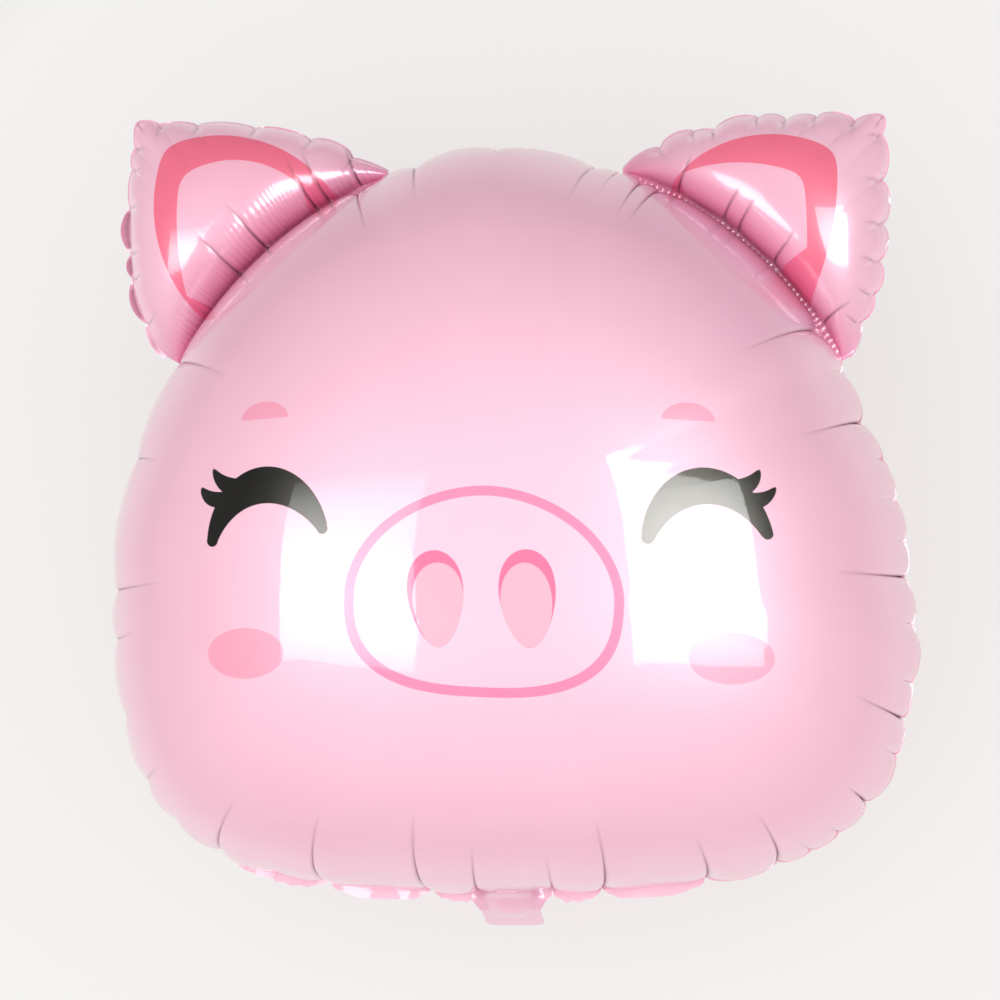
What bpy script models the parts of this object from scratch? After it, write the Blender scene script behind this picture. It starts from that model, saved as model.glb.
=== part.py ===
"""A pig's-head balloon of welded foil film, inflated and lying on its back.

Two sheets of film are cut to one outline and welded together along its edge, so
the balloon has two pieces: the front foil and the back foil. Air fills the sealed
space between them, and each sheet is modelled with its half of that space as one
solid. The crown points to +Y, the face looks up along +Z, and the origin is the
middle of the flat spot that the balloon lies on.
"""

import math

import bmesh
import bpy
import numpy as np

# The head, in metres. Its fullest point is above the origin
HEAD_WIDTH = 0.560
CROWN_REACH = 0.275
CHIN_REACH = 0.244
CHEEK_DROP = 0.052
CROWN_POWER = 2.0
JAW_POWER = 2.90
FRONT_RISE = 0.160
BACK_RISE = 0.160
FLAT_SPOT_RADIUS = 0.065

# The ears, each a sealed cell of its own beyond a curved weld
EAR_INNER_TURN = math.radians(17.6)
EAR_OUTER_TURN = math.radians(61.5)
EAR_LEAN = math.radians(41.2)
EAR_REACH = 0.122
EAR_RISE = 0.036
EAR_TOP_BULGE = 0.013
EAR_SIDE_BULGE = 0.018

# The welds: the film's flat margin outside them, and the band at an ear's root
MARGIN_WIDTH = 0.0035
MARGIN_THICKNESS = 0.0007
ROOT_WELD_WIDTH = 0.006
FOIL_GAP = 0.0003
LAYER_STEP = 0.0001

# The neck that the balloon is filled through, flattened and bent down behind it
NECK_WIDTH = 0.050
NECK_ROOT_WIDTH = 0.066
NECK_OVERLAP = 0.012
NECK_STRAIGHT = 0.002
NECK_BEND = math.radians(70)
NECK_BEND_RADIUS = 0.010
NECK_TAB_LENGTH = 0.034
NECK_CORNER = 0.008

# The pleats that the weld draws in: where they are, clockwise from the crown
PLEAT_DEPTH = 0.0055
PLEAT_LENGTH = 0.048
PLEAT_TURNS = tuple(
    math.radians(turn)
    for turn in (
        *(12, 22, 31, 41, 53, 62, 71, 83, 95, 104, 114, 126, 140, 150, 165, 173.5),
        *(185.5, 194, 209.5, 224.5, 237, 247, 263, 273, 283, 298, 308, 317, 327, 337, 346, 358),
    )
)
EAR_LOBES = 5
EAR_LOBE_DEPTH = 0.0045

# How finely the foils are faceted
HEAD_RINGS = 8
STEPS_PER_PLEAT = 4
EAR_RINGS = 4
STEPS_PER_LOBE = 3
ROOT_STEPS = 12
NECK_BEND_STEPS = 5
NECK_CORNER_STEPS = 3

FRONT = 1
BACK = -1
RIM = math.pi / 2
PROFILE_STEPS = 64
OUTLINE_STEPS = 720

FRONT_PINK = (0.94, 0.55, 0.66, 1.0)
BACK_PINK = (0.92, 0.42, 0.56, 1.0)
FOIL_METALLIC = 0.6
FOIL_ROUGHNESS = 0.25


def pillow_height(slope):
    """The height of an inflated foil disc where its surface has this slope, from 1 to 0.

    The slope runs from 0 at the middle to a quarter turn at the rim.
    """
    middle_to_rim = np.linspace(0, RIM, PROFILE_STEPS + 1)
    fall = np.linspace(slope, RIM, PROFILE_STEPS + 1)
    whole = np.trapz(np.sqrt(np.sin(middle_to_rim)), middle_to_rim)
    return np.trapz(np.sqrt(np.sin(fall)), fall, axis=0) / whole


def pillow_share(slope):
    """How far out from the middle that slope is, as a share of the radius."""
    return np.sqrt(np.sin(slope))


FLAT_SLOPE = math.asin((FLAT_SPOT_RADIUS / (HEAD_WIDTH / 2)) ** 2)
SEAM_HEIGHT = BACK_RISE * float(pillow_height(FLAT_SLOPE))


def head_outline():
    """The turns and radii of the head's weld line, seen from the fullest point."""
    spin = np.linspace(-math.pi, math.pi, OUTLINE_STEPS + 1)
    power = np.where(np.cos(spin) > 0, CROWN_POWER, JAW_POWER)
    reach = np.where(np.cos(spin) > 0, CROWN_REACH + CHEEK_DROP, CHIN_REACH - CHEEK_DROP)
    across = HEAD_WIDTH / 2 * np.sign(np.sin(spin)) * np.abs(np.sin(spin)) ** (2 / power)
    along = reach * np.sign(np.cos(spin)) * np.abs(np.cos(spin)) ** (2 / power) - CHEEK_DROP
    turns = np.arctan2(across, along)
    turns[0], turns[-1] = -math.pi, math.pi
    return turns, np.hypot(across, along)


OUTLINE_TURNS, OUTLINE_RADII = head_outline()


def head_radius(turn):
    """The weld line's distance from the fullest point, at a turn clockwise from the crown."""
    wrapped = (np.asarray(turn) + math.pi) % (2 * math.pi) - math.pi
    return np.interp(wrapped, OUTLINE_TURNS, OUTLINE_RADII)


def direction(turn):
    """The flat direction at a turn clockwise from the crown."""
    return np.stack([np.sin(turn), np.cos(turn)], axis=-1)


def smooth(share):
    """Eases a share between 0 and 1 in and out."""
    share = np.clip(share, 0, 1)
    return share * share * (3 - 2 * share)


def between(ends, steps, closed=True):
    """Steps between neighbouring ends, crowded at the ends, and how far along its gap each is."""
    along = (1 - np.cos(np.arange(steps) / steps * math.pi)) / 2
    starts = np.asarray(ends)
    stops = np.append(starts[1:], starts[0] + 2 * math.pi) if closed else starts[1:]
    starts = starts[: len(stops)]
    places = (starts[:, None] + (stops - starts)[:, None] * along).ravel()
    return places, np.tile(along, len(stops))


def swell(along):
    """How full a lobe is between its two pleats, from 0 at a pleat to 1 midway."""
    return np.sqrt(np.sin(np.pi * along))


def head_rings(side):
    """Rings of points on one side of the head, from its middle to its weld line."""
    turns, along = between(PLEAT_TURNS, STEPS_PER_PLEAT)
    flat = direction(turns)
    outline = head_radius(turns)
    first = RIM / HEAD_RINGS if side == FRONT else FLAT_SLOPE
    reach = 2 * PLEAT_LENGTH / outline.mean()
    rings = []
    for slope in np.linspace(first, RIM, HEAD_RINGS):
        share = pillow_share(slope)
        radius = share * (outline.mean() + (outline - outline.mean()) * share)
        pull = PLEAT_DEPTH * (1 - swell(along)) * smooth(1 - (RIM - slope) / reach)
        rise = FRONT_RISE if side == FRONT else BACK_RISE
        height = rise * float(pillow_height(slope)) - pull * math.cos(slope)
        spot = (radius - pull * math.sin(slope))[:, None] * flat
        level = height if side == FRONT else np.minimum(height, SEAM_HEIGHT)
        rings.append(np.column_stack([spot, level]))
    return rings


def arc(start, end, bulge, shares):
    """Points along an arc from start to end that bulges to its left, and the arc's centre and radius."""
    chord = end - start
    length = math.hypot(*chord)
    radius = (length**2 / 4 + bulge**2) / (2 * bulge)
    left = np.array([-chord[1], chord[0]]) / length
    centre = (start + end) / 2 + left * (bulge - radius)
    opening = 2 * math.asin(length / (2 * radius))
    first = start - centre
    sweep = -opening * np.asarray(shares)
    turned = np.column_stack(
        [
            first[0] * np.cos(sweep) - first[1] * np.sin(sweep),
            first[0] * np.sin(sweep) + first[1] * np.cos(sweep),
        ]
    )
    return centre + turned, centre, radius


def root_point(turn):
    """The ear's corner on the far edge of the weld band, at a turn from the crown."""
    return (head_radius(turn) + ROOT_WELD_WIDTH) * direction(np.asarray(turn))


def outward(outline):
    """Outward unit vectors at the points of a closed outline that runs clockwise."""
    ahead = np.roll(outline, -1, axis=0) - np.roll(outline, 1, axis=0)
    ahead /= np.linalg.norm(ahead, axis=1)[:, None]
    return np.column_stack([-ahead[:, 1], ahead[:, 0]])


def right_ear_outline():
    """The right ear's weld line, clockwise from its inner tip, and a function for its fullness."""
    inner = root_point(EAR_INNER_TURN)
    outer = root_point(EAR_OUTER_TURN)
    corner = (head_radius(EAR_LEAN) + EAR_REACH) * direction(np.asarray(EAR_LEAN))
    lobes = EAR_LOBES + 1 / 2
    places, along = between(np.arange(EAR_LOBES + 2), STEPS_PER_LOBE, closed=False)
    places, along = places[places < lobes] / lobes, along[places < lobes]
    top, top_centre, top_radius = arc(inner, corner, EAR_TOP_BULGE, np.append(places, 1))
    side, side_centre, side_radius = arc(corner, outer, EAR_SIDE_BULGE, 1 - places[::-1])
    root_turns = np.linspace(EAR_OUTER_TURN, EAR_INNER_TURN, ROOT_STEPS + 1)[1:-1]
    root = (head_radius(root_turns) + ROOT_WELD_WIDTH)[:, None] * direction(root_turns)
    outline = np.concatenate([top, side, root])
    lobe = swell(along)
    full = np.concatenate([lobe, [1], lobe[::-1], np.ones(len(root))])
    outline -= outward(outline) * (EAR_LOBE_DEPTH * (1 - full))[:, None]
    margin = np.full(len(outline), MARGIN_WIDTH)
    margin[-len(root) :] = ROOT_WELD_WIDTH + PLEAT_DEPTH

    def fullness(points):
        """The product of the distances to the ear's three sides, which is 0 at each of them."""
        turn = np.arctan2(points[:, 0], points[:, 1])
        root_way = np.linalg.norm(points, axis=1) - head_radius(turn) - ROOT_WELD_WIDTH
        top_way = top_radius - np.linalg.norm(points - top_centre, axis=1)
        side_way = side_radius - np.linalg.norm(points - side_centre, axis=1)
        return np.clip(root_way, 0, None) * np.clip(top_way, 0, None) * np.clip(side_way, 0, None)

    return outline, margin, fullness


def right_ear_rings():
    """Rings of points on the ear, from its middle to its weld line, and its margin's widths."""
    outline, margin, fullness = right_ear_outline()
    middle = outline.mean(axis=0)
    slopes = np.linspace(RIM / EAR_RINGS, RIM, EAR_RINGS)
    flats = [middle + pillow_share(slope) * (outline - middle) for slope in slopes]
    fullest = fullness(middle[None, :])[0]
    rings = []
    for flat in flats[:-1]:
        slope = np.arcsin(1 - np.clip(fullness(flat) / fullest, 0, 1))
        rings.append(np.column_stack([flat, EAR_RISE * pillow_height(slope)]))
    rings.append(np.column_stack([flats[-1], np.zeros(len(outline))]))
    return rings, margin, np.append(middle, EAR_RISE)


def mirrored(rings):
    """The same rings on the other side of the head, still clockwise."""
    return [np.column_stack([-ring[::-1, 0], ring[::-1, 1:]]) for ring in rings]


def with_margin(rings, width):
    """Adds the flat margin outside the weld line, and the film's edge down to the seam."""
    weld = rings[-1][:, :2]
    edge = weld + np.broadcast_to(width, len(weld))[:, None] * outward(weld)
    weld_level = MARGIN_THICKNESS * np.ones(len(weld))
    lifted = [ring + np.array([0, 0, MARGIN_THICKNESS]) for ring in rings[:-1]]
    return lifted + [
        np.column_stack([weld, weld_level]),
        np.column_stack([edge, weld_level]),
        np.column_stack([edge, np.zeros(len(weld))]),
    ]


def film_level(layer):
    """How far from the seam a joined piece starts, so that no two pieces share a plane."""
    return FOIL_GAP / 2 + layer * LAYER_STEP


def placed(points, side, layer):
    """Sets heights above the seam on the front or the back of it."""
    lifted = np.array(points, float)
    lifted[..., 2] = SEAM_HEIGHT + side * (lifted[..., 2] + film_level(layer))
    return lifted


def closed_mesh(name, rings, side, layer, middle=None):
    """A solid of rings of points: a fan or a flat face at the first, a flat face at the last."""
    shape = bmesh.new()
    loops = [[shape.verts.new(point) for point in placed(ring, side, layer)] for ring in rings]
    for inner, outer in zip(loops, loops[1:]):
        for i, vertex in enumerate(inner):
            shape.faces.new((inner[i - 1], vertex, outer[i], outer[i - 1]))
    if middle is None:
        shape.faces.new(loops[0])
    else:
        tip = shape.verts.new(placed(middle, side, layer))
        for i, vertex in enumerate(loops[0]):
            shape.faces.new((loops[0][i - 1], vertex, tip))
    shape.faces.new(loops[-1])
    bmesh.ops.recalc_face_normals(shape, faces=shape.faces)
    mesh = bpy.data.meshes.new(name)
    shape.to_mesh(mesh)
    shape.free()
    mesh.shade_smooth()
    mesh.set_sharp_from_angle(angle=math.radians(50))
    thing = bpy.data.objects.new(name, mesh)
    bpy.context.scene.collection.objects.link(thing)
    return thing


def neck_stations():
    """The neck's centre line as distances below the chin, drops, tilts and half widths."""
    stations = [(-NECK_OVERLAP, 0.0, 0.0, NECK_ROOT_WIDTH / 2)]
    stations.append((MARGIN_WIDTH, 0.0, 0.0, NECK_ROOT_WIDTH / 2))
    for step in range(NECK_BEND_STEPS + 1):
        tilt = NECK_BEND * step / NECK_BEND_STEPS
        out = MARGIN_WIDTH + NECK_STRAIGHT + NECK_BEND_RADIUS * math.sin(tilt)
        drop = NECK_BEND_RADIUS * (1 - math.cos(tilt))
        stations.append((out, drop, tilt, NECK_WIDTH / 2))
    bend_out, bend_drop = stations[-1][:2]
    corner = min(NECK_CORNER, NECK_WIDTH / 2, NECK_TAB_LENGTH)
    for step in range(NECK_CORNER_STEPS + 1):
        turn = RIM * step / NECK_CORNER_STEPS
        run = NECK_TAB_LENGTH - corner * (1 - math.sin(turn))
        half = NECK_WIDTH / 2 - corner * (1 - math.cos(turn))
        out = bend_out + run * math.cos(NECK_BEND)
        stations.append((out, bend_drop + run * math.sin(NECK_BEND), NECK_BEND, half))
    return stations


def neck_mesh(name, side, layer):
    """One film of the flattened neck, on the front or the back of the seam."""
    shape = bmesh.new()
    rows = []
    for out, drop, tilt, half in neck_stations():
        row = []
        for level in (film_level(layer), film_level(layer) + MARGIN_THICKNESS):
            y = -CHIN_REACH - out - side * level * math.sin(tilt)
            z = SEAM_HEIGHT - drop + side * level * math.cos(tilt)
            row.append([shape.verts.new((x, y, z)) for x in (-half, half)])
        rows.append((row[0][0], row[0][1], row[1][1], row[1][0]))
    for near, far in zip(rows, rows[1:]):
        for i in range(4):
            shape.faces.new((near[i - 1], near[i], far[i], far[i - 1]))
    shape.faces.new(rows[0])
    shape.faces.new(rows[-1])
    bmesh.ops.recalc_face_normals(shape, faces=shape.faces)
    mesh = bpy.data.meshes.new(name)
    shape.to_mesh(mesh)
    shape.free()
    thing = bpy.data.objects.new(name, mesh)
    bpy.context.scene.collection.objects.link(thing)
    return thing


def foil_material(name, colour):
    """Printed, metallised film."""
    material = bpy.data.materials.new(name)
    material.use_nodes = True
    shader = material.node_tree.nodes["Principled BSDF"]
    shader.inputs["Base Color"].default_value = colour
    shader.inputs["Metallic"].default_value = FOIL_METALLIC
    shader.inputs["Roughness"].default_value = FOIL_ROUGHNESS
    return material


def make_foil(name, side, colour):
    """One sheet of film with its half of the air: the head with its ears and neck joined on."""
    head = head_rings(side)
    middle = np.array([0, 0, FRONT_RISE + MARGIN_THICKNESS]) if side == FRONT else None
    rings = with_margin(head, MARGIN_WIDTH)
    if side == BACK:
        rings[0][:, 2] = SEAM_HEIGHT - film_level(0)
    foil = closed_mesh(name, rings, side, 0, middle)
    ear, margin, ear_middle = right_ear_rings()
    ear_middle = ear_middle + np.array([0, 0, MARGIN_THICKNESS])
    left_middle = ear_middle * np.array([-1, 1, 1])
    joined = (
        closed_mesh(name + "_right_ear", with_margin(ear, margin), side, 1, ear_middle),
        closed_mesh(name + "_left_ear", with_margin(mirrored(ear), margin[::-1]), side, 1, left_middle),
        neck_mesh(name + "_neck", side, 2),
    )
    for piece in joined:
        piece.hide_render = True
        piece.display_type = "WIRE"
        union = foil.modifiers.new(piece.name, "BOOLEAN")
        union.operation = "UNION"
        union.object = piece
    foil.data.materials.append(foil_material(name + "_film", colour))
    return foil


def clear_scene():
    """Removes whatever the scene starts with."""
    for thing in list(bpy.data.objects):
        bpy.data.objects.remove(thing)


def main():
    """Builds both foils."""
    clear_scene()
    make_foil("front_foil", FRONT, FRONT_PINK)
    make_foil("back_foil", BACK, BACK_PINK)


main()
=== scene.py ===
"""A pig's-head foil balloon lying on its back: printed film, pleated welds and soft studio light.

Two sheets of film are welded to each other round the edge and along each ear's root. Each sheet
is one piece here, made of the cells that the air fills, the flat welds and the filling neck.
Sizes are in metres. Turns are in degrees, clockwise from the crown as the face is seen. A slope
is the film's angle to the seam's plane: none at a cell's middle and a quarter turn at its weld.
"""

import logging
import math
from dataclasses import dataclass
from enum import Enum
from typing import Sequence

import bmesh
import bpy
import numpy as np
from mathutils import Matrix, Vector


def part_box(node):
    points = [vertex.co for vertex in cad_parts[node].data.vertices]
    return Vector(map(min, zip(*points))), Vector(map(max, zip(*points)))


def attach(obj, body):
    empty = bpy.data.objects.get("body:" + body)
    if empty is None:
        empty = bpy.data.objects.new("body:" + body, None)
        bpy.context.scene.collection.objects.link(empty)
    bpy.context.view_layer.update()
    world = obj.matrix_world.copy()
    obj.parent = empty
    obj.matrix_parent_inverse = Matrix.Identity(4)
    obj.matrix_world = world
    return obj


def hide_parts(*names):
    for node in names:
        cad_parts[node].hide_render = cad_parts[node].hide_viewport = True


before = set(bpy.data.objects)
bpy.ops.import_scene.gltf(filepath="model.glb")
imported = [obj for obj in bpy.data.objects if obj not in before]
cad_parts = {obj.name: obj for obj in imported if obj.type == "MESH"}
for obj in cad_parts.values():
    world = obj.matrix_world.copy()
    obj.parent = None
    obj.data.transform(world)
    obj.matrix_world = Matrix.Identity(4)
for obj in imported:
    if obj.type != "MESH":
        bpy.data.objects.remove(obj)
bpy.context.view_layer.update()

LOG = logging.getLogger("pig_balloon")
RIM = math.pi / 2
MM = 0.001


class Side(Enum):
    """The two sheets of film, and which way each bulges from the seam."""

    FRONT = 1
    BACK = -1


class Hand(Enum):
    """Which ear: the one on the viewer's right, or its mirror image."""

    RIGHT = 1
    LEFT = -1


def pillow_height(slope: np.ndarray, steps: int = 96) -> np.ndarray:
    """Gives how high inflated film stands where it has a slope, as a share of its rise.

    Args:
        slope: the film's slope in radians, from none to a quarter turn.
        steps: how many strips the integral is summed over.

    Returns:
        The share, from 1 where the film is level to 0 at the weld.
    """
    whole = np.linspace(0, RIM, steps + 1)
    fall = np.linspace(slope, RIM, steps + 1)
    total = np.trapz(np.sqrt(np.sin(whole)), whole)
    return np.trapz(np.sqrt(np.sin(fall)), fall, axis=0) / total


def direction(turn: np.ndarray) -> np.ndarray:
    """Gives the level unit vector at a turn in radians."""
    return np.stack([np.sin(turn), np.cos(turn)], axis=-1)


def ease(share: np.ndarray) -> np.ndarray:
    """Eases a share between 0 and 1 in and out."""
    share = np.clip(share, 0, 1)
    return share * share * (3 - 2 * share)


def swell(share: np.ndarray) -> np.ndarray:
    """Gives how full a lobe is between two pleats, from 0 at a pleat to 1 midway."""
    return np.sqrt(np.abs(np.sin(math.pi * np.clip(share, 0, 1))))


def fade(distance: np.ndarray, length: np.ndarray, power: float = 1.5) -> np.ndarray:
    """Gives what is left of a fold at a distance along it, from 1 at its start to 0 at its end."""
    return np.clip(1 - distance / length, 0, 1) ** power


def crowded(steps: int, power: float) -> np.ndarray:
    """Gives shares from 0 up to 1, without the 1, that crowd towards both ends.

    Args:
        steps: how many shares there are, an even number.
        power: how strongly they crowd; 1 spaces them evenly.

    Returns:
        The shares in rising order.
    """
    half = 0.5 * (2 * np.arange(steps // 2 + 1) / steps) ** power
    return np.concatenate([half, 1 - half[-2:0:-1]])


class Shell:
    """Collects grids of points into one mesh.

    Each point has traits that its material goes by, all from 0 to 1: how deep in a fold it is
    and how near an ear's root, which set where shade is painted, and whether it is on an ear.
    """

    TRAITS = ("fold", "nook", "ear")

    def __init__(self, side: Side, seam: float) -> None:
        """Starts an empty shell on one side of the seam."""
        self.side = side
        self.seam = seam
        self.points: list[np.ndarray] = []
        self.traits: dict[str, list[np.ndarray]] = {name: [] for name in self.TRAITS}
        self.faces: list[tuple[int, ...]] = []
        self.count = 0

    def add_points(self, points: np.ndarray, **traits: np.ndarray | float) -> np.ndarray:
        """Adds points whose heights are above the seam, on this shell's side of it.

        Args:
            points: an array whose last axis is x, y and the height above the seam.
            traits: the points' traits; those not given are nought.

        Returns:
            The points' numbers, in the array's own layout.
        """
        placed = np.array(points, float)
        placed[..., 2] = self.seam + self.side.value * placed[..., 2]
        numbers = self.count + np.arange(placed[..., 0].size).reshape(placed.shape[:-1])
        self.points.append(placed.reshape(-1, 3))
        for name, values in self.traits.items():
            values.append(np.broadcast_to(traits.get(name, 0.0), numbers.shape).ravel())
        self.count += numbers.size
        return numbers

    def add_grid(self, numbers: np.ndarray, closed: bool) -> None:
        """Joins rows of points with four-sided faces; a closed grid's rows are rings."""
        ahead = np.roll(numbers, -1, axis=1) if closed else numbers[:, 1:]
        here = numbers if closed else numbers[:, :-1]
        quads = np.stack([here[:-1], ahead[:-1], ahead[1:], here[1:]], axis=-1)
        self.faces.extend(map(tuple, quads.reshape(-1, 4).tolist()))

    def add_fan(self, ring: np.ndarray, tip: np.ndarray, **traits: float) -> None:
        """Closes a ring of points onto a tip."""
        centre = int(self.add_points(tip[None, :], **traits)[0])
        ahead = np.roll(ring, -1)
        self.faces.extend((centre, int(a), int(b)) for a, b in zip(ring, ahead))

    def build(self, name: str) -> bpy.types.Object:
        """Makes the object, smooth, with its faces pointing out.

        Args:
            name: the piece's name.

        Returns:
            The new object.
        """
        mesh = bpy.data.meshes.new(name)
        mesh.from_pydata(np.concatenate(self.points).tolist(), [], self.faces)
        for trait, values in self.traits.items():
            layer = mesh.attributes.new(trait, "FLOAT", "POINT")
            layer.data.foreach_set("value", np.clip(np.concatenate(values), 0, 1).astype(np.float32))
        shape = bmesh.new()
        shape.from_mesh(mesh)
        bmesh.ops.remove_doubles(shape, verts=shape.verts, dist=2e-6)
        bmesh.ops.dissolve_degenerate(shape, edges=shape.edges, dist=1e-6)
        bmesh.ops.recalc_face_normals(shape, faces=shape.faces)
        shape.to_mesh(mesh)
        shape.free()
        mesh.shade_smooth()
        mesh.set_sharp_from_angle(angle=math.radians(70))
        piece = bpy.data.objects.new(name, mesh)
        bpy.context.scene.collection.objects.link(piece)
        return piece


@dataclass(frozen=True)
class Film:
    """The film at the welds: its flat margin and how thick the two sheets are there."""

    margin: float = 0.0022
    thickness: float = 0.00025
    gap: float = 0.00003
    root_weld: float = 0.0018


@dataclass(frozen=True)
class Pleat:
    """A fold that the weld draws into the film.

    Its turn is at the weld, and lean is how much further round its inner end is. It runs in
    from the weld for its length, and depth is how far it draws the weld in.
    """

    turn: float
    lean: float = 0.0
    length: float = 0.045
    depth: float = 0.0055
    line: float = 1.0


HEAD_PLEATS = (
    Pleat(14.0, -0.5, 0.108, line=0.8),
    Pleat(17.5, 0.2, 0.090, depth=0.003, line=0.5),
    Pleat(21.5, 0.5, 0.105, depth=0.004),
    Pleat(24.5, -0.2, 0.105, depth=0.004),
    Pleat(33.0, depth=0, line=0),
    Pleat(42.0, depth=0, line=0),
    Pleat(50.0, depth=0, line=0),
    Pleat(57.0, -2.0, 0.125),
    Pleat(63.5, length=0.020, depth=0.004, line=0.3),
    Pleat(71.7, 1.0, 0.114, depth=0.006),
    Pleat(78.0, length=0.016, depth=0.004, line=0.2),
    Pleat(84.2, length=0.018, depth=0.005, line=0.2),
    Pleat(90.3, length=0.014, depth=0.003, line=0.2),
    Pleat(95.2, 0.9, 0.112, depth=0.005),
    Pleat(101.7, length=0.018, depth=0.006, line=0.2),
    Pleat(109.3, length=0.018, depth=0.005, line=0.2),
    Pleat(114.2, -0.5, 0.088, depth=0.005),
    Pleat(118.7, length=0.016, depth=0.005, line=0.2),
    Pleat(126.0, -0.8, 0.062),
    Pleat(131.1, length=0.016, depth=0.005, line=0.2),
    Pleat(135.3, length=0.014, depth=0.004, line=0.2),
    Pleat(139.9, -4.0, 0.098),
    Pleat(149.4, -3.9, 0.098, depth=0.005),
    Pleat(164.8, -6.0, 0.132),
    Pleat(172.7, -2.6, 0.099, depth=0.004, line=0.7),
    Pleat(185.0, -1.8, 0.115, depth=0.004, line=0.9),
    Pleat(192.8, 1.7, 0.145, depth=0.006),
    Pleat(208.6, 3.0, 0.130),
    Pleat(215.8, length=0.014, depth=0.003, line=0.2),
    Pleat(223.4, 1.4, 0.110, depth=0.004),
    Pleat(231.0, length=0.014, depth=0.003, line=0.1),
    Pleat(237.2, -0.3, 0.075, depth=0.004, line=0.7),
    Pleat(246.5, -0.5, 0.060, depth=0.004, line=0.6),
    Pleat(257.0, -0.8, 0.090, depth=0.003, line=0.8),
    Pleat(264.0, -1.0, 0.125, depth=0.004, line=0.9),
    Pleat(283.4, 0.6, 0.100, depth=0.004),
    Pleat(298.5, 4.0, 0.135),
    Pleat(308.0, depth=0, line=0),
    Pleat(317.0, depth=0, line=0),
    Pleat(327.0, depth=0, line=0),
    Pleat(337.5, 1.3, 0.118),
    Pleat(347.0, 1.0, 0.105, depth=0.004),
    Pleat(359.2, 0.6, 0.050, depth=0.004),
)


# Each pair is a turn in degrees and how far the head's weld stands out from its even line there, in mm.
UNEVENNESS = (
    (0, 4.0), (3, 1.5), (8, -1.0), (16, -2.0), (20, 0.0), (60, 0.0), (64, -4.0), (72, -4.5), (78, -1.5),
    (86, 0.5), (97, 0.5), (105, 5.0), (112, 2.0), (122, 4.5), (130, 4.5), (140, 2.5), (149, -0.5),
    (157, -4.5), (165, -1.0), (173, -3.0), (186, -1.0), (193, -1.5), (200, -4.5), (208, -1.0), (214, -1.5),
    (220, 0.0), (228, -1.0), (236, -2.0), (243, -5.0), (250, -4.5), (256, -3.0), (263, -2.0), (272, 1.0),
    (283, 0.5), (290, 0.5), (298, 0.0), (336, 0.0), (341, -1.5), (346, 0.5), (352, 2.5), (360, 4.0),
)


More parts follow.
